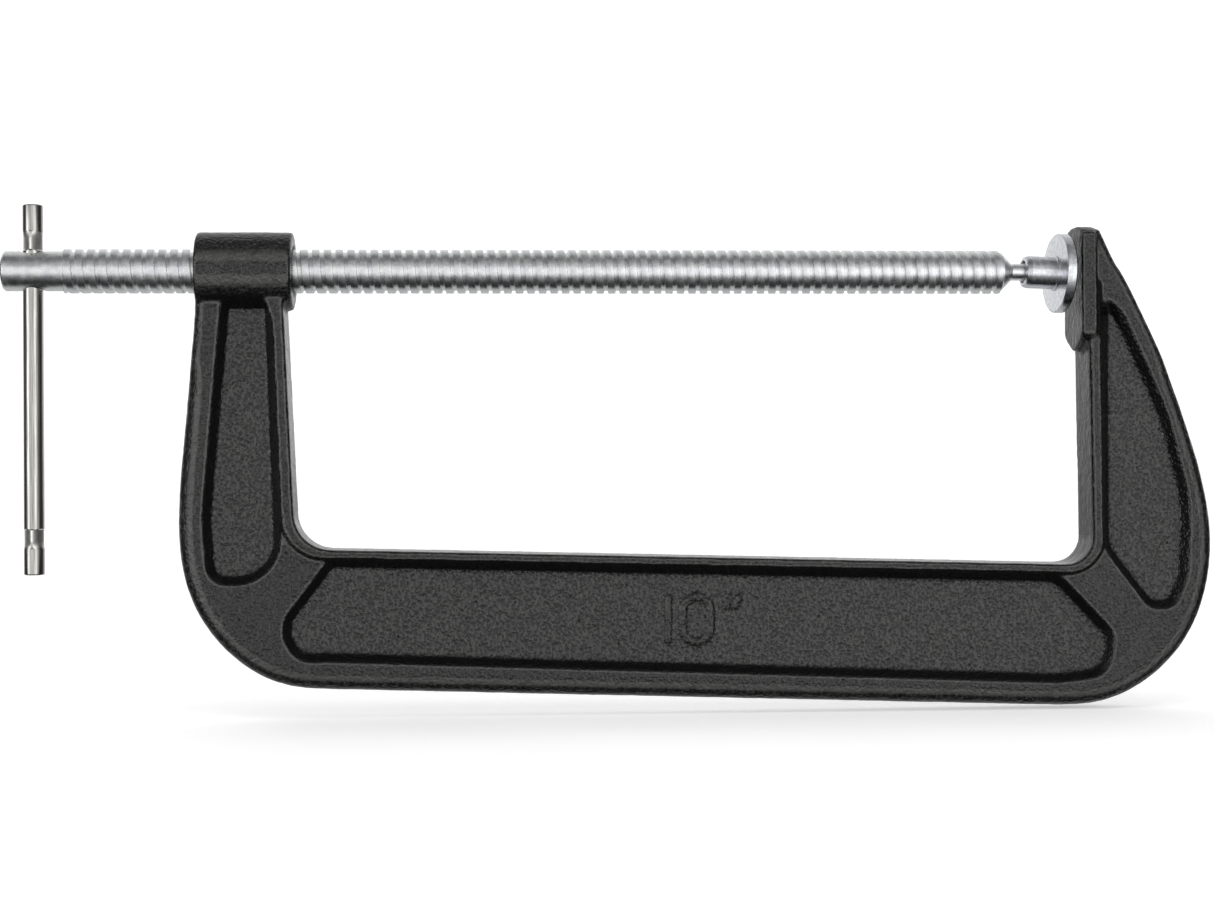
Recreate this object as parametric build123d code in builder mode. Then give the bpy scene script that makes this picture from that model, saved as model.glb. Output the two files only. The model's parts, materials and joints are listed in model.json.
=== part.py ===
from build123d import *
import os
from math import sqrt

# C-clamp, 250 mm (10 in) opening: a cast frame, a rolled trapezoidal screw with a
# sliding tommy bar, and a swivel pad crimped over the ball end of the screw.
# Millimetres. Origin: centre of the anvil face, on the screw axis.
# +X runs from the tommy bar to the anvil, +Z up, +Y away from the numeral side.
os.makedirs("parts", exist_ok=True)

# frame casting, half thicknesses measured across Y from the middle plane
web_half = 3.8
rim_half = 8.0
band_half = 9.5
anvil_half = 11.0
rim_round = 4.0
wall_taper = 36.0
spine_slope = 0.0337  # fall of the spine per mm towards the anvil
spine_bottom = -152.17  # height of the spine underside below the anvil face
throat_bottom = -102.45  # height of the throat floor below the anvil face
throat_slope = 0.0270
anvil_depth = 5.3
anvil_top = 15.9
numeral_height = 0.9

# boss
boss_left = -305.2
boss_right = -272.5
boss_radius = 13.4

# screw thread, 4 mm pitch, single start, right hand
pitch = 4.0
crest_radius = 7.55
root_radius = 6.55
crest_width = 2.3
floor_width = 1.1
nut_crest_radius = 7.75
nut_root_radius = 6.8
nut_crest_width = 2.6
nut_floor_width = 0.81
thread_start = -350.0
thread_turns = 81

# screw head, neck and ball end
head_end = -370.4
head_radius = 6.8
cross_hole_x = -360.75
cross_hole_radius = 3.75
neck_radius = 2.9
ball_x = -14.6
ball_radius = 4.0
ball_gap = 0.02

# swivel pad, measured along its own axis from the centre of the ball
socket_radius = 4.15
pad_mouth = -3.4
pad_lip_radius = 3.55
pad_mouth_radius = 4.0
collar_radius = 5.7
disc_back = 8.2
disc_front = 11.7
disc_radius = 13.9
pad_turn = 3.0  # rest swing of the pad about Z, degrees
pad_nod = 2.0  # rest swing of the pad about Y, degrees

# tommy bar
bar_radius = 3.4
bar_top = 22.6
bar_bottom = -103.6
bar_end_length = 9.4
crimp_length = 6.2
crimp_width = 6.0
crimp_ear = 8.5


def threaded_rod(x, turns, root, crest, floor, land):
    """Right-hand trapezoidal thread about the X axis, closed at both ends by a screw-shaped step.

    Each turn is four bands, each ruled between two helices. A groove is centred on +Y at x.
    """
    crest_start = (pitch - land) / 2
    profile = (
        (-floor / 2, root),
        (floor / 2, root),
        (crest_start, crest),
        (crest_start + land, crest),
        (pitch - floor / 2, root),
    )
    faces = []
    for turn in range(turns):
        height = turn * pitch
        helices = [
            Edge.make_helix(pitch, pitch, radius, center=(0, 0, height + along))
            for along, radius in profile
        ]
        for low, high in zip(helices, helices[1:]):
            faces.append(Face.make_surface_from_curves(low, high))
    for height in (0, turns * pitch):
        low_point = (0, 0, height + profile[0][0])
        high_point = (0, 0, height + profile[-1][0])
        helix = Edge.make_helix(pitch, pitch, root, center=low_point)
        faces.append(Face.make_surface_from_curves(helix, Edge.make_line(low_point, high_point)))
        step = [(radius, 0, height + along) for along, radius in profile]
        faces.append(Face(Wire.make_polygon([low_point] + step + [high_point], close=True)))
    return Solid(Shell(faces)).moved(Plane.YZ.offset(x).location)


def rounded_outline(corners):
    """Closed outline from corners given as x, z and corner radius."""
    points = [(x, z) for x, z, _ in corners]
    return FilletPolyline(*points, radius=[radius for _, _, radius in corners], close=True)


def spine_at(x):
    return spine_bottom - spine_slope * x


def throat_at(x):
    return throat_bottom - throat_slope * x


# Outlines seen from the numeral side: x, z and corner radius of each corner.
throat_outline = (
    (-275.5, 30.0, 0),
    (-275.5, -8.0, 0),
    (-271.6, throat_at(-271.6), 12.5),
    (4.2, throat_at(4.2), 9.5),
    (2.9, -22.0, 0),
    (2.9, 30.0, 0),
)
band_outline = (
    (-284.0, -4.0, 0),
    (-279.2, -18.0, 0),
    (-276.0, throat_at(-276) - 3.1, 15),
    (8.0, throat_at(8) - 3.1, 12.5),
    (6.9, -20.0, 0),
    (6.9, -4.0, 0),
)
screw_arm_pocket = (
    (-296.2, -5.0, 0),
    (-303.4, -85.0, 40),
    (-301.6, -107.4, 7),
    (-275.9, -107.4, 15.5),
    (-279.4, -5.0, 0),
)
spine_pocket = (
    (-260.5, throat_at(-260.5) - 3.1, 5),
    (-278.8, -122.6, 11),
    (-271.2, -134.0, 9),
    (-262.0, spine_at(-262) + 9.6, 30),
    (-8.0, spine_at(-8) + 8.2, 0),
    (9.6, -141.8, 9),
    (12.9, -127.0, 9),
    (-7.5, throat_at(-7.5) - 3.4, 10),
)
anvil_arm_pocket = (
    (7.9, -8.5, 1.2),
    (15.2, -13.6, 8),
    (31.4, -49.5, 60),
    (39.3, -80.0, 50),
    (38.6, -106.5, 14),
    (33.6, -118.3, 6),
    (24.2, -118.3, 6),
    (7.8, -96.8, 12),
)

# ---------------------------------------------------------------- frame casting
# The casting is symmetric about its middle plane, so the near half is made and mirrored.
with BuildPart() as frame:
    # rim-thick blank with the whole outside shape and its rounded outer edge
    with BuildSketch(Plane.XZ):
        with BuildLine():
            left_side = Spline(
                (-305.4, -4),
                (-306.9, -29),
                (-309.7, -57.8),
                (-311.5, -86),
                (-309.5, -105.4),
                (-300.2, -124.6),
                (-283.0, -138.9),
                (-262.0, spine_at(-262)),
                tangents=((0, -1), (1, -spine_slope)),
            )
            underside = Line(left_side @ 1, (-14, spine_at(-14)))
            right_side = Spline(
                underside @ 1,
                (11.5, -149.8),
                (35.8, -132.6),
                (46.0, -110.0),
                (47.2, -88.0),
                (39.1, -54.3),
                (27.8, -24.9),
                (14.7, 1.1),
                (8.6, 13.0),
                tangents=((1, -spine_slope), (-0.42, 0.91)),
            )
            Polyline(right_side @ 1, (7.6, 14.6), (1.2, 14.6), (1.2, -4), left_side @ 0)
        make_face()
    extrude(amount=rim_half)
    rim_face = faces().sort_by(Axis.Y)[0]
    outer_edges = rim_face.edges().filter_by(lambda edge: edge.length > 60 and edge.center().Z < -20)
    fillet(outer_edges, radius=rim_round)

    # three pockets with drafted walls down to the web
    for corners in (screw_arm_pocket, spine_pocket, anvil_arm_pocket):
        with BuildSketch(Plane.XZ.offset(rim_half)):
            with BuildLine():
                rounded_outline(corners)
            make_face()
        extrude(amount=web_half - rim_half, taper=wall_taper, mode=Mode.SUBTRACT)

    # raised band round the throat, flaring into the boss
    with BuildSketch(Plane.XZ):
        with BuildLine():
            rounded_outline(band_outline)
        make_face()
    extrude(amount=band_half)

    # throat, cut clean through between the two arms
    with BuildSketch(Plane.XZ):
        with BuildLine():
            rounded_outline(throat_outline)
        make_face()
    extrude(amount=anvil_half, mode=Mode.SUBTRACT)

    # anvil block, proud of the arm on the screw side, with a tongue at the bottom
    with BuildSketch(Plane.YZ):
        with BuildLine():
            tongue = Spline(
                (-anvil_half, -20.5),
                (-7.5, -24.8),
                (0, -28.0),
                tangents=((0, -1), (1, -0.1)),
            )
            crown = Spline(
                (0, anvil_top),
                (-6.0, 15.3),
                (-anvil_half, 12.6),
                tangents=((-1, 0), (-0.7, -0.7)),
            )
            Line(crown @ 1, tongue @ 0)
            Line(tongue @ 1, crown @ 0)
        make_face()
    extrude(amount=anvil_depth)

    # boss for the screw
    with BuildSketch(Plane.YZ.offset(boss_left)):
        Circle(boss_radius)
        with Locations((boss_radius, 0)):
            Rectangle(2 * boss_radius, 2 * boss_radius, mode=Mode.SUBTRACT)
    extrude(amount=boss_right - boss_left)

    mirror(about=Plane.XZ)

    # raised size numerals cast on the near web: one, zero and an inch mark
    with BuildSketch(Plane.XZ.offset(web_half)):
        with Locations((-144.3, -120.4)):
            SlotOverall(16.6, 2.0, rotation=90)
        with Locations((-134.4, -120.6)):
            SlotOverall(17.4, 11.8, rotation=90)
            SlotOverall(13.6, 8.0, rotation=90, mode=Mode.SUBTRACT)
        with Locations((-123.4, -114.6), (-120.2, -114.6)):
            SlotOverall(4.8, 1.5, rotation=65)
    extrude(amount=numeral_height)

    # threaded bore of the boss
    nut_thread = (nut_root_radius, nut_crest_radius, nut_floor_width, nut_crest_width)
    add(threaded_rod(thread_start + 9 * pitch, 13, *nut_thread), mode=Mode.SUBTRACT)

frame.part.label = "frame"
export_step(frame.part, "parts/frame.step")

# ---------------------------------------------------------------- spindle
thread_end = thread_start + thread_turns * pitch
thread = (root_radius, crest_radius, floor_width, crest_width)
with BuildPart() as spindle:
    # the thread is made a turn too long at each end
    add(threaded_rod(thread_start - pitch, thread_turns + 2, *thread))
    with BuildSketch(Plane.YZ.offset(thread_start)):
        Circle(crest_radius + 1)
    extrude(amount=-3 * pitch, mode=Mode.SUBTRACT)

    # its last turns run out on a turned nose
    nose_end = thread_end + 0.2
    with BuildSketch(Plane.XZ):
        with BuildLine():
            Polyline(
                (nose_end - 1.9, crest_radius + 1),
                (nose_end - 0.8, crest_radius - 0.3),
                (nose_end, 6.3),
                (nose_end, 0),
                (nose_end + 4 * pitch, 0),
                (nose_end + 4 * pitch, crest_radius + 1),
                close=True,
            )
        make_face()
    revolve(axis=Axis.X, mode=Mode.SUBTRACT)

    # taper down to the neck
    with BuildSketch(Plane.XZ):
        with BuildLine():
            neck_end = ball_x - sqrt(ball_radius**2 - neck_radius**2) - ball_gap
            Polyline(
                (nose_end - 3.0, 0),
                (nose_end - 3.0, root_radius),
                (nose_end - 0.3, root_radius),
                (nose_end + 3.4, neck_radius),
                (neck_end, neck_radius),
                (neck_end, 0),
                close=True,
            )
        make_face()
    revolve(axis=Axis.X)

    # smooth head with the cross hole for the tommy bar
    with BuildSketch(Plane.YZ.offset(head_end)):
        Circle(head_radius)
    extrude(amount=thread_start - head_end)
    rim = edges().filter_by(GeomType.CIRCLE).sort_by(Axis.X)[0]
    chamfer(rim, length=0.6)
    with BuildSketch(Plane.XY.offset(-head_radius - 1)):
        with Locations((cross_hole_x, 0)):
            Circle(cross_hole_radius)
    extrude(amount=2 * head_radius + 2, mode=Mode.SUBTRACT)

spindle.part.label = "spindle"
export_step(spindle.part, "parts/spindle.step")

# ---------------------------------------------------------------- ball end
# The ball end turns about the screw axis but never swings, so it carries the pad.
with BuildPart() as spindle_ball:
    with Locations((ball_x, 0, 0)):
        Sphere(ball_radius)
    split(bisect_by=Plane.YZ.offset(neck_end + ball_gap), keep=Keep.TOP)

spindle_ball.part.label = "spindle_ball"
export_step(spindle_ball.part, "parts/spindle_ball.step")

# ---------------------------------------------------------------- swivel pad
lip_x = -sqrt(socket_radius**2 - pad_lip_radius**2)
with BuildPart() as pad_blank:
    with BuildSketch(Plane.XZ):
        with BuildLine():
            Polyline((pad_mouth, 0), (pad_mouth, collar_radius - 0.9))
            ThreePointArc(
                (pad_mouth, collar_radius - 0.9),
                (pad_mouth + 0.26, collar_radius - 0.26),
                (pad_mouth + 0.9, collar_radius),
            )
            Line((pad_mouth + 0.9, collar_radius), (disc_back - 1.6, collar_radius))
            ThreePointArc(
                (disc_back - 1.6, collar_radius),
                (disc_back - 0.47, collar_radius + 0.47),
                (disc_back, collar_radius + 1.6),
            )
            Polyline(
                (disc_back, collar_radius + 1.6),
                (disc_back, disc_radius - 0.5),
                (disc_back + 0.5, disc_radius),
                (disc_front - 0.6, disc_radius),
                (disc_front, disc_radius - 0.6),
                (disc_front, 0),
                (pad_mouth, 0),
            )
        make_face()
    revolve(axis=Axis.X)
    # round socket under the crimped lip, opening out towards the neck
    with BuildSketch(Plane.XZ):
        with BuildLine():
            Polyline(
                (socket_radius, 0),
                (pad_mouth, 0),
                (pad_mouth, pad_mouth_radius),
                (lip_x, pad_lip_radius),
            )
            ThreePointArc((lip_x, pad_lip_radius), (0, socket_radius), (socket_radius, 0))
        make_face()
    revolve(axis=Axis.X, mode=Mode.SUBTRACT)

with BuildPart() as swivel_pad:
    add(pad_blank.part.moved(Location((ball_x, 0, 0), (0, pad_nod, pad_turn))))

swivel_pad.part.label = "swivel_pad"
export_step(swivel_pad.part, "parts/swivel_pad.step")

# ---------------------------------------------------------------- tommy bar
with BuildPart() as tommy_bar:
    with Locations((cross_hole_x, 0, (bar_top + bar_bottom) / 2)):
        Cylinder(bar_radius, bar_top - bar_bottom)
    chamfer(edges().filter_by(GeomType.CIRCLE), length=0.5)
    # each end is pinched flat along X, which pushes an ear out along Y
    crimp_top = bar_top - bar_end_length - crimp_length / 2
    crimp_bottom = bar_bottom + bar_end_length + crimp_length / 2
    with Locations((cross_hole_x, 0, crimp_top), (cross_hole_x, 0, crimp_bottom)):
        Box(2 * bar_radius + 1, 2 * bar_radius + 1, crimp_length, mode=Mode.SUBTRACT)
        Box(crimp_width, crimp_ear, crimp_length)
    ears = edges().filter_by(Axis.Z).filter_by(lambda edge: edge.length < crimp_length + 0.1)
    fillet(ears, radius=2.4)

tommy_bar.part.label = "tommy_bar"
export_step(tommy_bar.part, "parts/tommy_bar.step")
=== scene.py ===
import json
from math import acos, asin, atan2, cos, pi, radians, sin, sqrt

import bmesh
import bpy
import numpy as np
from mathutils import Matrix, Vector
from mathutils.kdtree import KDTree


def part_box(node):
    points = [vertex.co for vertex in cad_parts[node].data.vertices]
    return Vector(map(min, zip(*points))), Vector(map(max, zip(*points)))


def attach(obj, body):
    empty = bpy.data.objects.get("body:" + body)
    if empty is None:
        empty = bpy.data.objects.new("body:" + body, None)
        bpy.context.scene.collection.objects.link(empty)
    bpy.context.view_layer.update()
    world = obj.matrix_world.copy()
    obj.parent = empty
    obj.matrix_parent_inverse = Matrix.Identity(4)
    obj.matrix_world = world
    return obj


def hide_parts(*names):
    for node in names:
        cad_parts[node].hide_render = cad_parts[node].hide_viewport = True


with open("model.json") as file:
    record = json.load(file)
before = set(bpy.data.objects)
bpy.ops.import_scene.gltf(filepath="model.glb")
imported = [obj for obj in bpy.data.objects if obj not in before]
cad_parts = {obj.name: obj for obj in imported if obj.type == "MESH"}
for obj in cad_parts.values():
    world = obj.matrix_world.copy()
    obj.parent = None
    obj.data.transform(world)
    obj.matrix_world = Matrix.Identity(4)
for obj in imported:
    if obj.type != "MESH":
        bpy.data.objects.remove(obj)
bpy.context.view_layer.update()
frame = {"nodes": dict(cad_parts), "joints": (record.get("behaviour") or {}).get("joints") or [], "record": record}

MM = 0.001
record = frame["record"]
joints = {j["name"]: j for j in frame["joints"]}
mounts = {m["name"]: m for m in record["mounts"]}


# ---------------------------------------------------------------- mesh helpers
def share(value):
    """The value kept between 0 and 1."""
    return max(0.0, min(1.0, value))


def add_object(name, verts, faces):
    """A smooth-shaded mesh object from points in millimetres."""
    mesh = bpy.data.meshes.new(name)
    mesh.from_pydata([(x * MM, y * MM, z * MM) for x, y, z in verts], [], faces)
    mesh.update()
    obj = bpy.data.objects.new(name, mesh)
    bpy.context.scene.collection.objects.link(obj)
    shade_smooth(obj)
    return obj


def shade_smooth(obj):
    obj.data.polygons.foreach_set("use_smooth", [True] * len(obj.data.polygons))


def mark_sharp(obj, degrees_apart):
    """Faces that meet at more than this angle keep a crisp edge between them."""
    obj.data.set_sharp_from_angle(angle=radians(degrees_apart))


def bake_modifiers(obj):
    """Replaces the mesh by what its modifiers make of it."""
    graph = bpy.context.evaluated_depsgraph_get()
    done = bpy.data.meshes.new_from_object(obj.evaluated_get(graph))
    obj.modifiers.clear()
    obj.data = done
    return obj


def boolean(obj, other, operation):
    """Cuts, joins or keeps the common part of two closed meshes, and removes the second."""
    mod = obj.modifiers.new("solid", "BOOLEAN")
    mod.operation = operation
    mod.object = other
    mod.solver = "MANIFOLD"
    bake_modifiers(obj)
    bpy.data.objects.remove(other)
    return obj


def lathe(name, profile, around=96, close=False):
    """Turned shape about the X axis from (x, radius) points. A radius of 0 ends it in a point."""
    verts, rings, faces = [], [], []
    for x, r in profile:
        if r == 0:
            rings.append([len(verts)])
            verts.append((x, 0, 0))
        else:
            rings.append(list(range(len(verts), len(verts) + around)))
            for j in range(around):
                a = 2 * pi * j / around
                verts.append((x, r * cos(a), r * sin(a)))
    pairs = list(zip(rings, rings[1:] + rings[:1]))
    for one, two in pairs if close else pairs[:-1]:
        for j in range(around):
            k = (j + 1) % around
            quad = [one[j % len(one)], one[k % len(one)], two[k % len(two)], two[j % len(two)]]
            quad = list(dict.fromkeys(quad))
            if len(quad) > 2:
                faces.append(quad)
    obj = add_object(name, verts, faces)
    fix_normals(obj)
    return obj


def fix_normals(obj):
    """Turns all faces of a closed mesh outwards."""
    work = bmesh.new()
    work.from_mesh(obj.data)
    bmesh.ops.recalc_face_normals(work, faces=work.faces)
    work.to_mesh(obj.data)
    work.free()
    shade_smooth(obj)


NEARLY_STRAIGHT = radians(88)  # half angle of a corner that is left as it is


def round_corners(points, radius, steps=4):
    """A profile with every corner but its two ends rounded. A third number is that point's own radius."""
    out = [points[0][:2]]
    for before, here, after in zip(points, points[1:], points[2:]):
        r = here[2] if len(here) > 2 else radius
        p, a, b = Vector(here[:2]), Vector(before[:2]), Vector(after[:2])
        u, v = (a - p).normalized(), (b - p).normalized()
        half = acos(max(-1.0, min(1.0, u.dot(v)))) / 2
        if r == 0 or half > NEARLY_STRAIGHT:
            out.append(tuple(p))
            continue
        # neighbouring roundings never meet, so each takes less than half of the side it shares
        reach = min(r / np.tan(half), (a - p).length * 0.49, (b - p).length * 0.49)
        r = reach * np.tan(half)
        centre = p + (u + v).normalized() * (r / sin(half))
        start, end = p + u * reach - centre, p + v * reach - centre
        turn = atan2(start.x * end.y - start.y * end.x, start.dot(end))
        for i in range(steps + 1):
            c, s = cos(turn * i / steps), sin(turn * i / steps)
            out.append((centre.x + start.x * c - start.y * s, centre.y + start.x * s + start.y * c))
    out.append(points[-1][:2])
    return out


# ---------------------------------------------------------------- shader helpers
RAMP_TOP = 2.0  # level that a ramp's full white stands for


class Shader:
    """Nodes of a material or a world, joined up by the calls that make them."""

    def __init__(self, name, world=None):
        self.owner = world or bpy.data.materials.new(name)
        self.owner.use_nodes = True
        self.tree = self.owner.node_tree
        self.tree.nodes.clear()

    def add(self, kind, settings=None, **inputs):
        """A node with its inputs given by name, or by number as i0, i1 and so on."""
        node = self.tree.nodes.new(kind)
        for key, value in (settings or {}).items():
            setattr(node, key, value)
        for key, value in inputs.items():
            socket = node.inputs[int(key[1:]) if key[1:].isdigit() else key.replace("_", " ")]
            if isinstance(value, bpy.types.NodeSocket):
                self.tree.links.new(value, socket)
            else:
                socket.default_value = value
        return node

    def coords(self, scale=(1, 1, 1)):
        """Position on the piece in millimetres, stretched by scale."""
        where = self.add("ShaderNodeTexCoord").outputs["Object"]
        mm = tuple(s / MM for s in scale)
        return self.add("ShaderNodeMapping", Vector=where, Scale=mm).outputs[0]

    def noise(self, at, size, detail=2.0, rough=0.5):
        """Fractal noise between 0 and 1 with features of this size in mm."""
        node = self.add(
            "ShaderNodeTexNoise", Vector=at, Scale=1 / size, Detail=detail, Roughness=rough,
        )
        return node.outputs["Fac"]

    def cells(self, at, size):
        """Distance from the middle of scattered cells of this size in mm."""
        return self.add("ShaderNodeTexVoronoi", Vector=at, Scale=1 / size).outputs["Distance"]

    def math(self, operation, a, b=0.0):
        return self.add("ShaderNodeMath", {"operation": operation}, i0=a, i1=b).outputs[0]

    def span(self, value, low, high, to_low=0.0, to_high=1.0):
        """Soft change from to_low to to_high as the value goes from low to high."""
        node = self.add(
            "ShaderNodeMapRange", {"interpolation_type": "SMOOTHSTEP"}, Value=value,
            From_Min=low, From_Max=high, To_Min=to_low, To_Max=to_high,
        )
        return node.outputs[0]

    def ramp(self, value, low, high, stops):
        """Level read from (value, level) stops between low and high."""
        part = self.add(
            "ShaderNodeMapRange", Value=value, From_Min=low, From_Max=high, To_Min=0.0, To_Max=1.0,
        )
        node = self.add("ShaderNodeValToRGB", Fac=part.outputs[0])
        points = node.color_ramp.elements
        while len(points) < len(stops):
            points.new(0.5)
        for point, (here, level) in zip(points, stops):
            point.position = (here - low) / (high - low)
            point.color = grey(level / RAMP_TOP)
        return self.math("MULTIPLY", node.outputs[0], RAMP_TOP)

    def mix(self, factor, one, two):
        """Colour between one and two."""
        node = self.add("ShaderNodeMix", {"data_type": "RGBA"}, i0=factor, i6=one, i7=two)
        return node.outputs[2]

    def bump(self, height, distance, strength=1.0, normal=None):
        """Normal of a surface that rises by this distance in mm, laid over another one if given."""
        extra = {"Normal": normal} if normal else {}
        node = self.add("ShaderNodeBump", Height=height, Distance=distance * MM, Strength=strength, **extra)
        return node.outputs[0]

    def surface(self, **inputs):
        """Ends the material in a standard surface and returns it."""
        shader = self.add("ShaderNodeBsdfPrincipled", **inputs)
        out = self.add("ShaderNodeOutputMaterial")
        self.tree.links.new(shader.outputs[0], out.inputs[0])
        return self.owner


def grey(value, tint=(1, 1, 1)):
    """Colour of this brightness, tinted."""
    return tuple(value * t for t in tint) + (1.0,)


# ---------------------------------------------------------------- dimensions, mm
def low(node):
    """Lowest corner of a node's box."""
    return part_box(node)[0] / MM


def high(node):
    """Highest corner of a node's box."""
    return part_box(node)[1] / MM


PITCH = 2 * pi * record["behaviour"]["couplings"][0]["ratio"] / MM
HEAD_END = low("spindle").x
CREST_R = high("spindle").z
BALL_X = joints["pad_tilt"]["pos_m"][0] / MM
BAR_X = (low("tommy_bar").x + high("tommy_bar").x) / 2
BAR_R = (high("tommy_bar").x - low("tommy_bar").x) / 2
BOSS_X = (-305.2, -272.5)
THREAD_START = -350.0
NOSE_END = -25.8  # where the taper after the last crest begins
ROOT_R = 6.55
HEAD_R = 6.8
NECK_R = 2.9
HOLE_R = 3.75
SOCKET_R = 4.15
LIP_R = 3.55
RIM_HALF = 8.0
THROAT_MIDDLE = (-135, -20)
NUMERALS = (-148, -116, -131, -110)  # left, right, bottom and top of the raised size mark

# thread sections: flat at the groove's floor, flat at the crest and rounding of the corners
SCREW_FLATS = (1.1, 2.4, 0.08)
NUT_FLATS = (0.81, 2.6, 0.1)
NUT_PLAY = 0.2
NUT_ROOT_PLAY = 0.25
BORE_TURNS = 13
TURNS_BEFORE_BORE = 9.5

# the wide rolled edge round the outside of the casting
ROLL_WIDTH = 6.5
ROLL_DEPTH = 5.5
ROLL_TOP = -10  # the roll fades out below this height, over ROLL_FADE
ROLL_FADE = 30

# a press mark of the tommy bar, measured from its middle along the bar
PRESS_FROM_END = 12.5
PRESS_REACH = 3.9
PRESS_STEP_END, PRESS_STEP = 3.3, 0.4
RUN_OUT_START, RUN_OUT = 3.7, 2.6
FACET_ROUND = 1.3  # 1 gives flat facets with a sharp ridge, 2 gives none
FACET_LEAST = 2.5
BAR_END_ROUND = 0.5


# ---------------------------------------------------------------- helical thread
def threaded_rod(name, start, turns, section, around=48):
    """Closed right-hand thread about X. section holds (distance along X, radius) over one turn."""
    per_turn = len(section)
    rows = turns * per_turn + 1
    verts = []
    for k in range(rows):
        along, r = section[k % per_turn]
        for j in range(around):
            a = 2 * pi * j / around
            x = start + PITCH * (k // per_turn + j / around) + along
            verts.append((x, r * cos(a), r * sin(a)))
    faces = []
    for k in range(rows - 1):
        for j in range(around - 1):
            v = k * around + j
            faces.append((v, v + 1, v + around + 1, v + around))
    for k in range(rows - 1 - per_turn):
        v, w = k * around + around - 1, (k + per_turn) * around
        faces.append((v, w, w + around, v + around))
    last = (rows - 1) * around
    first_rim = list(range(around)) + [k * around for k in range(per_turn, 0, -1)]
    last_rim = [last + j for j in range(around)]
    last_rim += [last + around - 1 - k * around for k in range(1, per_turn + 1)]
    for rim, end in ((first_rim, start - PITCH), (last_rim, start + PITCH * (turns + 2))):
        tip = len(verts)
        verts.append((end, 0, 0))
        faces += [(rim[i - 1], rim[i], tip) for i in range(len(rim))]
    obj = add_object(name, verts, faces)
    fix_normals(obj)
    return obj


def thread_section(root, crest, floor, land, rounding):
    """One turn of trapezoidal thread, centred on the groove, with its corners rounded."""
    crest_start = (PITCH - land) / 2
    points = [
        (-PITCH / 2, crest),
        (-crest_start, crest),
        (-floor / 2, root),
        (floor / 2, root),
        (crest_start, crest),
        (PITCH / 2, crest),
    ]
    return round_corners(points, rounding, steps=3)[:-1]


# ---------------------------------------------------------------- frame casting
def frame_casting():
    """The CAD casting with softened edges and slightly uneven sand-cast faces."""
    mesh = frame["nodes"]["frame"].data.copy()
    obj = bpy.data.objects.new("frame_casting", mesh)
    bpy.context.scene.collection.objects.link(obj)
    work = bmesh.new()
    work.from_mesh(mesh)
    bmesh.ops.remove_doubles(work, verts=work.verts, dist=1e-7)
    work.to_mesh(mesh)
    work.free()
    # the bore is filled here and cut again after the remesh, which would blur its thread
    plug_r = 9.5
    plug = lathe("plug", [(BOSS_X[0], 0), (BOSS_X[0], plug_r), (BOSS_X[1], plug_r), (BOSS_X[1], 0)])
    boolean(obj, plug, "UNION")

    remesh = obj.modifiers.new("grain", "REMESH")
    remesh.mode = "VOXEL"
    remesh.voxel_size = 0.6 * MM
    bake_modifiers(obj)
    roll_outer_edge(obj)
    soften = obj.modifiers.new("soften", "SMOOTH")
    soften.vertex_group = soft_group(obj)
    soften.factor = 0.5
    soften.iterations = 12
    for size, height in ((9.0, 0.16), (2.4, 0.12), (1.3, 0.07)):
        clouds = bpy.data.textures.new("casting", "CLOUDS")
        clouds.noise_scale = size * MM
        uneven = obj.modifiers.new("uneven", "DISPLACE")
        uneven.texture = clouds
        uneven.texture_coords = "LOCAL"
        uneven.strength = height * MM
        uneven.mid_level = 0.5
    bake_modifiers(obj)

    # threaded bore with a chamfered mouth at each end
    section = thread_section(ROOT_R + NUT_ROOT_PLAY, CREST_R + NUT_PLAY, *NUT_FLATS)
    bore_start = THREAD_START + TURNS_BEFORE_BORE * PITCH
    boolean(obj, threaded_rod("bore", bore_start, BORE_TURNS, section), "DIFFERENCE")
    wide, narrow, deep = 10.4, 7.0, 1.6
    for end, out in zip(BOSS_X, (-1, 1)):
        mouth = [(end + out, 0), (end + out, wide), (end - deep * out, narrow), (end - deep * out, 0)]
        boolean(obj, lathe("mouth", mouth), "DIFFERENCE")
    most_triangles = 196000
    trim = obj.modifiers.new("trim", "DECIMATE")
    trim.ratio = min(1.0, most_triangles / count_triangles(obj))
    bake_modifiers(obj)
    shade_smooth(obj)
    mark_sharp(obj, 40)
    return obj


def points_and_normals(mesh):
    """Vertex positions in millimetres and unit normals, one row each."""
    found = []
    for name in ("co", "normal"):
        values = np.empty(len(mesh.vertices) * 3)
        mesh.vertices.foreach_get(name, values)
        found.append(values.reshape(-1, 3))
    return found[0] / MM, found[1]


def roll_outer_edge(obj):
    """Rolls the outer edge of the casting over in a wide ellipse that fades out up the anvil arm."""
    points, normals = points_and_normals(obj.data)
    x, y, z = points.T
    away = (x - THROAT_MIDDLE[0]) * normals[:, 0] + (z - THROAT_MIDDLE[1]) * normals[:, 2]
    # the outline is the strip of outward faces along the middle plane, below the roll's top
    strip = (abs(y) < 1.5) & (abs(normals[:, 1]) < 0.3) & (z < ROLL_TOP - 2)
    outline = np.flatnonzero(strip & (away > 0))
    tree = KDTree(len(outline))
    for i in outline:
        tree.insert((x[i], 0, z[i]), int(i))
    tree.balance()
    near_side = (abs(y) > RIM_HALF - ROLL_DEPTH) & (abs(y) < RIM_HALF + 0.5)
    for i in np.flatnonzero(near_side & (z < ROLL_TOP)):
        fade = min(1.0, (ROLL_TOP - z[i]) / ROLL_FADE)
        width, depth = ROLL_WIDTH * fade + 0.01, ROLL_DEPTH * fade
        inwards = tree.find((x[i], 0, z[i]))[2]
        if inwards < width:
            limit = RIM_HALF - depth * (1 - sqrt(max(0.0, 1 - (1 - inwards / width) ** 2)))
            points[i, 1] = max(-limit, min(limit, y[i]))
    obj.data.vertices.foreach_set("co", (points * MM).ravel())
    obj.data.update()


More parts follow.
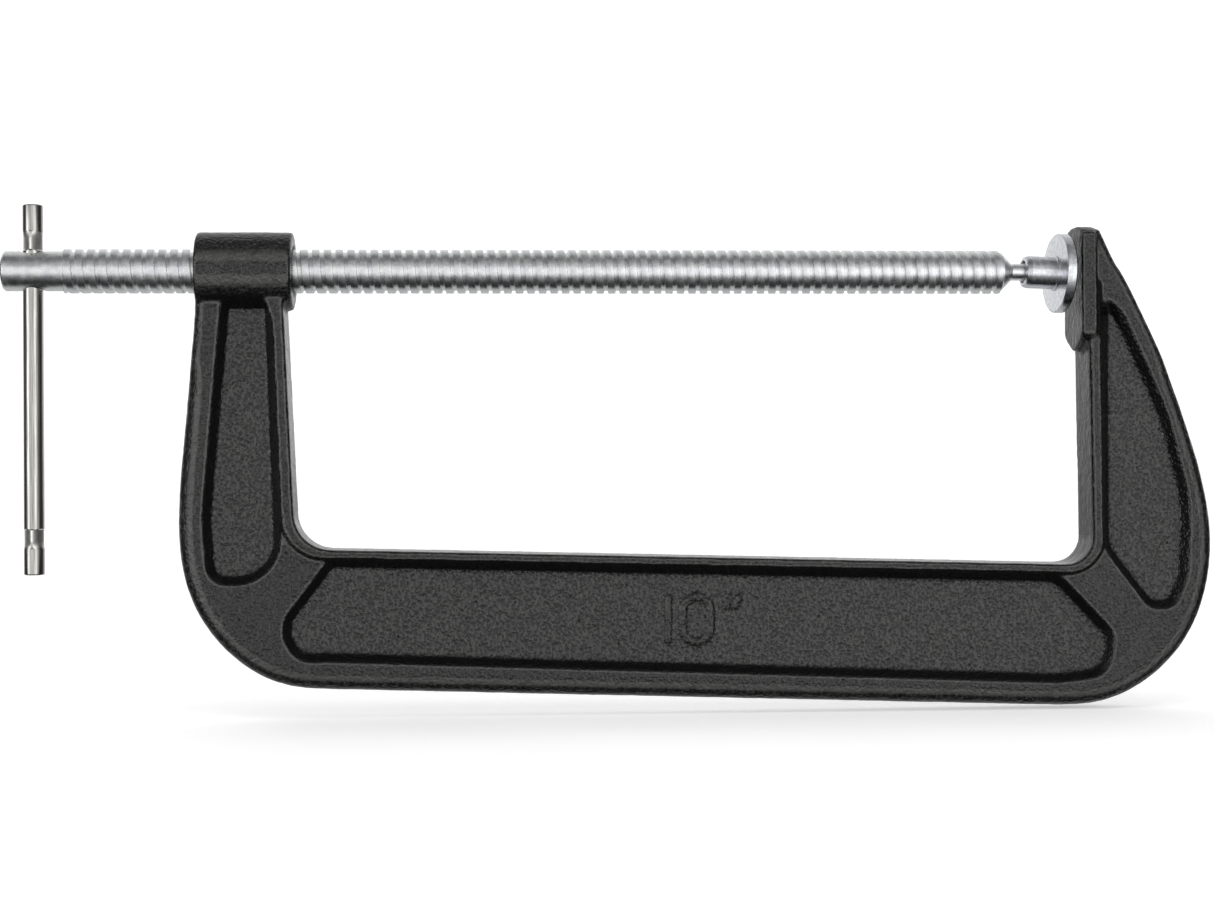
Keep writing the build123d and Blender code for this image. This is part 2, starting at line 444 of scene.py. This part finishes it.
def soft_group(obj):
    """Weights for smoothing the casting: everything but the size numerals, which stay crisp."""
    x, y, z = points_and_normals(obj.data)[0].T
    crisp = (y < 0) & (x > NUMERALS[0]) & (x < NUMERALS[1]) & (z > NUMERALS[2]) & (z < NUMERALS[3])
    group = obj.vertex_groups.new(name="soft")
    group.add(np.flatnonzero(~crisp).tolist(), 1.0, "REPLACE")
    group.add(np.flatnonzero(crisp).tolist(), 0.10, "REPLACE")
    return group.name


def count_triangles(obj):
    return sum(len(p.vertices) - 2 for p in obj.data.polygons)


# ---------------------------------------------------------------- screw
def screw():
    """Head, thread, taper and neck of the spindle."""
    section = thread_section(ROOT_R, CREST_R, *SCREW_FLATS)
    turns = round((NOSE_END - THREAD_START) / PITCH) + 2
    obj = threaded_rod("screw_thread", THREAD_START - PITCH / 2, turns - 1, section)
    over = CREST_R + 1.5
    before = THREAD_START - 3 * PITCH
    tail = [(before, 0), (before, over), (THREAD_START, over), (THREAD_START, 0)]
    boolean(obj, lathe("tail", tail), "DIFFERENCE")
    after = NOSE_END + 5 * PITCH
    nose = [
        (NOSE_END - 1.9, over),
        (NOSE_END - 0.8, CREST_R - 0.3),
        (NOSE_END - 0.1, 6.3),
        (NOSE_END, 0),
        (after, 0),
        (after, over),
    ]
    boolean(obj, lathe("nose", nose, close=True), "DIFFERENCE")
    neck_end = high("spindle").x
    core = [
        (HEAD_END, 0),
        (HEAD_END, HEAD_R - 0.6),
        (HEAD_END + 0.6, HEAD_R),
        (THREAD_START + 0.3, HEAD_R),
        (THREAD_START + 0.9, ROOT_R - 0.4),
        (NOSE_END - 1.0, ROOT_R - 0.3),
        (NOSE_END - 0.3, ROOT_R),
        (NOSE_END + 3.4, NECK_R),
        (neck_end, NECK_R),
        (neck_end, 0),
    ]
    core = [core[0]] + round_corners(core[1:-1], 0.6) + [core[-1]]
    boolean(obj, lathe("core", core), "UNION")
    drill = lathe("drill", hole_profile(), 64)
    drill.matrix_world = Matrix.Translation((BAR_X * MM, 0, 0)) @ Matrix.Rotation(-pi / 2, 4, "Y")
    boolean(obj, drill, "DIFFERENCE")
    shade_smooth(obj)
    mark_sharp(obj, 35)
    return obj


def hole_profile():
    """Cross hole with a small countersink at both mouths."""
    deep = HEAD_R + 1.5
    flare = [(HEAD_R + 0.4, HOLE_R + 1.0), (HEAD_R - 0.9, HOLE_R)]
    right = [(deep, 0), (deep, HOLE_R + 1.0)] + flare
    left = [(-x, r) for x, r in reversed(right)]
    return right + left


# ---------------------------------------------------------------- swivel pad
def pad_pose():
    """The pad's rest place: centred on the ball, its axis along the pad face's normal."""
    axis = Vector(mounts["pad_face"]["axis"])
    turn = Vector((1, 0, 0)).rotation_difference(axis)
    return Matrix.Translation((BALL_X * MM, 0, 0)) @ turn.to_matrix().to_4x4()


def swivel_pad():
    """Disc with a collar, bored out to the socket that holds the ball."""
    outside = [
        (-2.9, 0.0),
        (-2.9, 3.62),
        (-3.55, 3.95),
        (-3.4, 4.7),
        (-3.1, 5.35, 0.5),
        (-1.6, 5.7, 1.5),
        (7.4, 5.62, 0.25),
        (7.5, 6.15, 0.3),
        (8.2, 6.2, 0.15),
        (8.2, 13.6, 0.4),
        (8.6, 13.9, 0.3),
        (11.3, 13.9, 0.4),
        (11.7, 13.4, 0.3),
        (11.7, 0.0),
    ]
    obj = lathe("pad_disc", round_corners(outside, 0.25), 128)
    # the round socket ends at a lip that clears the neck, then opens out towards the mouth
    lip_angle = pi - asin(LIP_R / SOCKET_R)
    steps, mouth_flare, behind = 14, 0.36, 4.3
    socket = [(SOCKET_R, 0)]
    for i in range(1, steps + 1):
        a = lip_angle * i / steps
        socket.append((SOCKET_R * cos(a), SOCKET_R * sin(a)))
    socket += [(-behind, LIP_R + mouth_flare * (behind + SOCKET_R * cos(lip_angle))), (-behind, 0)]
    boolean(obj, lathe("socket", socket, 96), "DIFFERENCE")
    obj.data.transform(pad_pose())
    shade_smooth(obj)
    mark_sharp(obj, 35)
    return obj


# ---------------------------------------------------------------- tommy bar
def tommy_bar():
    """Drawn bar, built up in rings, with four facets pressed in near each end."""
    bottom, top = low("tommy_bar").z, high("tommy_bar").z
    pinch = (high("tommy_bar").y - low("tommy_bar").y) / 2 - 0.1
    centres = (bottom + PRESS_FROM_END, top - PRESS_FROM_END)
    end_steps = (0, 0.12, 0.3, BAR_END_ROUND)
    heights = [bottom + step for step in end_steps] + [top - step for step in end_steps]
    for c in centres:
        heights += list(np.linspace(c - PRESS_REACH, c + PRESS_REACH, 40))
    plain_end = 17
    heights += list(np.linspace(bottom + plain_end, top - plain_end, 12))
    heights = sorted(heights)
    around = 96
    verts, faces = [], []
    for z in heights:
        edge = min(z - bottom, top - z, BAR_END_ROUND)
        r = BAR_R - BAR_END_ROUND + sqrt(max(0.0, BAR_END_ROUND**2 - (BAR_END_ROUND - edge) ** 2))
        inward = z - centres[0] if z < (bottom + top) / 2 else centres[1] - z
        # the press leaves a sharp step towards the middle of the bar and runs out towards its end
        press = share((PRESS_STEP_END - inward) / PRESS_STEP) * share((inward + RUN_OUT_START) / RUN_OUT)
        for j in range(around):
            a = 2 * pi * j / around
            across, deep = abs(cos(a)) / (BAR_R - 0.1), abs(sin(a)) / pinch
            facet = (across**FACET_ROUND + deep**FACET_ROUND) ** (-1 / FACET_ROUND)
            reach = r + (max(facet, FACET_LEAST) - r) * press
            verts.append((BAR_X + reach * cos(a), reach * sin(a), z))
    for k in range(len(heights) - 1):
        for j in range(around):
            v, w = k * around + j, k * around + (j + 1) % around
            faces.append((v, w, w + around, v + around))
    last = (len(heights) - 1) * around
    faces.append(tuple(reversed(range(around))))
    faces.append(tuple(range(last, last + around)))
    obj = add_object("tommy_bar_steel", verts, faces)
    fix_normals(obj)
    mark_sharp(obj, 30)
    return obj


# ---------------------------------------------------------------- materials
def paint():
    """Glossy black paint over sand-cast iron: sandy flat faces, smooth roundings and walls kept the darkest black
    as painted shade, and a paler painted highlight along the ridges.
    """
    s = Shader("black_paint")
    at = s.coords()
    geometry = s.add("ShaderNodeNewGeometry").outputs
    facing = s.add("ShaderNodeSeparateXYZ", Vector=geometry["Normal"])
    side = s.math("ABSOLUTE", facing.outputs[1])
    depth = s.math("ABSOLUTE", s.add("ShaderNodeSeparateXYZ", Vector=at).outputs[1])
    flat = s.span(side, 0.70, 0.94)
    pocket = s.math("MULTIPLY", s.span(depth, 4.4, 7.0, 1.0, 0.0), flat)
    grain = s.noise(at, 1.0, detail=1, rough=0.5)
    lumps = s.noise(at, 2.6, detail=2)
    pits = s.span(s.cells(at, 5.0), 0.0, 0.11, -1.0, 0.0)
    fine = s.bump(s.math("MULTIPLY", grain, s.span(side, 0.3, 0.9, 0.22, 1.0)), 0.5)
    rough = s.bump(lumps, 0.22, normal=fine)
    holed = s.bump(pits, 0.35, strength=0.9, normal=rough)
    shine = s.math("ADD", s.span(lumps, 0.3, 0.7, 0.17, 0.25), s.math("MULTIPLY", pocket, 0.06))
    # painted highlight: the slightly tilted edges of the raised band, where light would catch them, are picked out
    # for a paler colour
    tilted = s.math("MULTIPLY", s.span(side, 0.86, 0.95), s.span(side, 0.975, 0.996, 1.0, 0.0))
    raised = s.math("MULTIPLY", tilted, s.span(depth, 5.6, 6.8))
    painted_ridge_highlight = s.math("MULTIPLY", raised, s.span(lumps, 0.2, 0.5, 0.5, 1.0))
    gloss = s.span(side, 0.1, 0.5, 0.2, 0.55)
    deep = s.mix(pocket, grey(0.003, (1, 0.98, 0.96)), grey(0.005, (1, 0.98, 0.95)))
    pale = s.mix(pocket, grey(0.022, (1, 0.97, 0.94)), grey(0.045, (1, 0.98, 0.95)))
    # flat faces mix the deep and pale tones by the sand grain; roundings and walls, off the flat faces, keep only
    # the deep black as painted shade
    sand = s.mix(s.math("MULTIPLY", s.span(grain, 0.40, 0.62), flat), deep, pale)
    # the ridge mask lifts the colour to pale grey, a painted highlight
    colour = s.mix(s.math("MULTIPLY", painted_ridge_highlight, 0.8), sand, grey(0.075, (1, 0.98, 0.95)))
    return s.surface(Base_Color=colour, Roughness=shine, Normal=holed, Specular_IOR_Level=gloss)


def zinc():
    """Bright zinc plate, bluish, with fine scratches round the screw and small dark marks."""
    s = Shader("zinc_plate")
    round_it = s.coords((6.0, 0.5, 0.5))
    at = s.coords()
    turned = s.noise(round_it, 0.8, detail=3, rough=0.6)
    blotch = s.noise(at, 2.4, detail=4, rough=0.6)
    speck = s.span(s.cells(at, 1.6), 0.05, 0.16, 1.0, 0.0)
    colour = s.mix(s.span(blotch, 0.35, 0.7), grey(0.74, (0.97, 1.0, 1.03)), grey(0.94, (0.99, 1.0, 0.99)))
    marked = s.mix(s.math("MULTIPLY", speck, 0.35), colour, grey(0.30, (1, 0.98, 0.9)))
    shine = s.span(blotch, 0.3, 0.75, 0.22, 0.36)
    fine = s.bump(turned, 0.03)
    lumps = s.bump(blotch, 0.05, normal=fine)
    return s.surface(Base_Color=marked, Metallic=1.0, Roughness=shine, Normal=lumps)


def pad_steel():
    """Satin zinc on a turned disc: fine rings about the pad's own axis."""
    s = Shader("turned_zinc")
    at = s.coords()
    blotch = s.noise(at, 1.7, detail=4, rough=0.65)
    rings = s.noise(s.coords((5.0, 0.4, 0.4)), 0.7, detail=2)
    colour = s.mix(s.span(blotch, 0.35, 0.7), grey(0.60, (0.97, 0.99, 1.03)), grey(0.80, (0.97, 0.99, 1.04)))
    shine = s.span(blotch, 0.3, 0.7, 0.14, 0.26)
    return s.surface(
        Base_Color=colour, Metallic=1.0, Roughness=shine,
        Normal=s.bump(blotch, 0.05, normal=s.bump(rings, 0.03)),
    )


def bar_steel():
    """Polished drawn steel with draw lines along the bar, duller where it was pressed and near white there, partly
    fresh pressed metal and partly a painted highlight.
    """
    s = Shader("drawn_steel")
    at = s.coords()
    drawn = s.noise(s.coords((1.6, 1.6, 0.05)), 0.9, detail=3, rough=0.6)
    blotch = s.noise(at, 3.0, detail=3)
    bottom, top = low("tommy_bar").z, high("tommy_bar").z
    height = s.add("ShaderNodeSeparateXYZ", Vector=at).outputs[2]
    from_middle = s.math("ABSOLUTE", s.math("SUBTRACT", height, (bottom + top) / 2))
    from_press = s.math("ABSOLUTE", s.math("SUBTRACT", from_middle, (top - bottom) / 2 - PRESS_FROM_END))
    pressed = s.span(from_press, 2.6, 3.6, 1.0, 0.0)
    drawn_colour = s.mix(
        s.span(drawn, 0.3, 0.7), grey(0.36, (1.0, 0.98, 0.93)), grey(0.60, (1.0, 0.985, 0.95)),
    )
    # near-white colour in the pressed zone: partly fresh pressed metal, partly a painted highlight
    colour = s.mix(pressed, drawn_colour, grey(0.95, (1.0, 0.985, 0.95)))
    shine = s.math("ADD", s.span(blotch, 0.3, 0.7, 0.12, 0.20), s.math("MULTIPLY", pressed, 0.18))
    return s.surface(Base_Color=colour, Metallic=1.0, Roughness=shine, Normal=s.bump(drawn, 0.025))


def place(obj, material, body, node):
    """Gives a piece its finish and its body, and hides the CAD node that it stands for."""
    obj.data.materials.clear()
    obj.data.materials.append(material)
    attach(obj, body)
    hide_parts(node)


place(frame_casting(), paint(), "frame", "frame")
plated = zinc()
place(screw(), plated, "screw", "spindle")
place(swivel_pad(), pad_steel(), "pad", "swivel_pad")
place(tommy_bar(), bar_steel(), "bar", "tommy_bar")
ball = frame["nodes"]["spindle_ball"]
ball.data.materials.clear()
ball.data.materials.append(plated)


# ---------------------------------------------------------------- studio
FLOOR_Z = -0.153  # metres, just under the casting


def backdrop():
    """Pale floor that sweeps up into a wall behind the clamp."""
    depth, wall, bend, width = 0.9, 1.6, 0.6, 3.0
    path = [(-2.2, 0.0), (depth - bend, 0.0)]
    for i in range(1, 13):
        a = pi / 2 * i / 12
        path.append((depth - bend + bend * sin(a), bend - bend * cos(a)))
    path.append((depth, wall))
    verts = [(x / MM, y / MM, z / MM + FLOOR_Z / MM) for y, z in path for x in (-width, width)]
    faces = [(2 * i, 2 * i + 1, 2 * i + 3, 2 * i + 2) for i in range(len(path) - 1)]
    obj = add_object("backdrop", verts, faces)
    s = Shader("paper")
    mottle = s.noise(s.coords(), 40.0, detail=3)
    colour = s.mix(mottle, grey(0.86), grey(0.90))
    obj.data.materials.append(
        s.surface(Base_Color=colour, Roughness=0.85, Emission_Color=colour, Emission_Strength=0.5)
    )
    obj.visible_glossy = False


def soft_light(name, place_at, aim, size, watts):
    """Rectangular lamp turned towards its aim."""
    data = bpy.data.lights.new(name, "AREA")
    data.shape = "RECTANGLE"
    data.size, data.size_y = size
    data.energy = watts
    obj = bpy.data.objects.new(name, data)
    obj.location = place_at
    obj.rotation_euler = (Vector(aim) - Vector(place_at)).to_track_quat("-Z", "Y").to_euler()
    bpy.context.scene.collection.objects.link(obj)
    return obj


def studio():
    """A light tent seen in the metal: bright in front with two brighter strips, dark below it."""
    world = bpy.data.worlds.new("studio")
    bpy.context.scene.world = world
    s = Shader("studio", world)
    way = s.add("ShaderNodeTexCoord").outputs["Generated"]
    xyz = s.add("ShaderNodeSeparateXYZ", Vector=way).outputs
    # tilt runs from straight back below, through the front at 0, to straight back above
    tilt = s.math("ARCTAN2", xyz[2], s.math("MULTIPLY", xyz[1], -1.0))
    level_by_tilt = s.ramp(s.math("DEGREES", tilt), -180, 180, (
        (-180, 0.60), (-114, 0.52), (-100, 0.20), (-92, 0.05), (-62, 0.07), (-47, 0.25),
        (-36, 0.42), (-26, 0.90), (-17, 1.65), (15, 1.65), (26, 0.85), (40, 0.70), (58, 0.32),
        (88, 0.30), (108, 0.55), (130, 0.75), (180, 0.95),
    ))
    across = s.math("DEGREES", s.math("ARCSINE", xyz[0]))
    in_front = s.ramp(across, -90, 90, (
        (-90, 0.10), (-68, 0.25), (-60, 1.50), (-48, 1.50), (-40, 0.62), (-15, 0.55), (14, 0.60),
        (22, 1.05), (36, 1.05), (44, 0.60), (55, 0.30), (68, 0.14), (80, 0.08), (90, 0.08),
    ))
    at_back = s.ramp(across, -90, 90, (
        (-90, 0.08), (-58, 0.12), (-44, 1.0), (44, 1.0), (58, 0.12), (90, 0.08),
    ))
    behind = s.span(xyz[1], -0.12, 0.12)
    front = s.math("MULTIPLY", s.math("SUBTRACT", 1.0, behind), in_front)
    level = s.math("MULTIPLY", level_by_tilt, s.math("ADD", front, s.math("MULTIPLY", behind, at_back)))
    # the camera itself sees plain white paper all round
    seen = s.add("ShaderNodeLightPath").outputs["Is Camera Ray"]
    level = s.math("ADD", s.math("MULTIPLY", level, s.math("SUBTRACT", 1.0, seen)), seen)
    glow = s.add("ShaderNodeBackground", Color=grey(1.0), Strength=level)
    out = s.add("ShaderNodeOutputWorld")
    s.tree.links.new(glow.outputs[0], out.inputs[0])
    lamp = soft_light("overhead", (-0.16, -0.35, 0.9), (-0.16, 0.0, -0.06), (1.2, 0.5), 3)
    lamp.visible_glossy = False


def camera():
    """Nearly level view from the numeral side, a little towards the tommy bar."""
    aim = Vector((-0.16491, 0, -0.06375))
    away, yaw, roll = 0.678, radians(3.5), radians(-0.268)
    data = bpy.data.cameras.new("camera")
    data.sensor_width = 36.0
    data.lens = 57.9
    data.clip_start = 0.01
    obj = bpy.data.objects.new("camera", data)
    bpy.context.scene.collection.objects.link(obj)
    look = Vector((sin(yaw), cos(yaw), 0))
    obj.location = aim - look * away
    obj.rotation_mode = "QUATERNION"
    upright = look.to_track_quat("-Z", "Y").to_matrix()
    obj.rotation_quaternion = (upright @ Matrix.Rotation(roll, 3, "Z")).to_quaternion()
    bpy.context.scene.camera = obj


backdrop()
studio()
camera()
bpy.context.scene.view_settings.view_transform = "Standard"

bpy.context.view_layer.update()
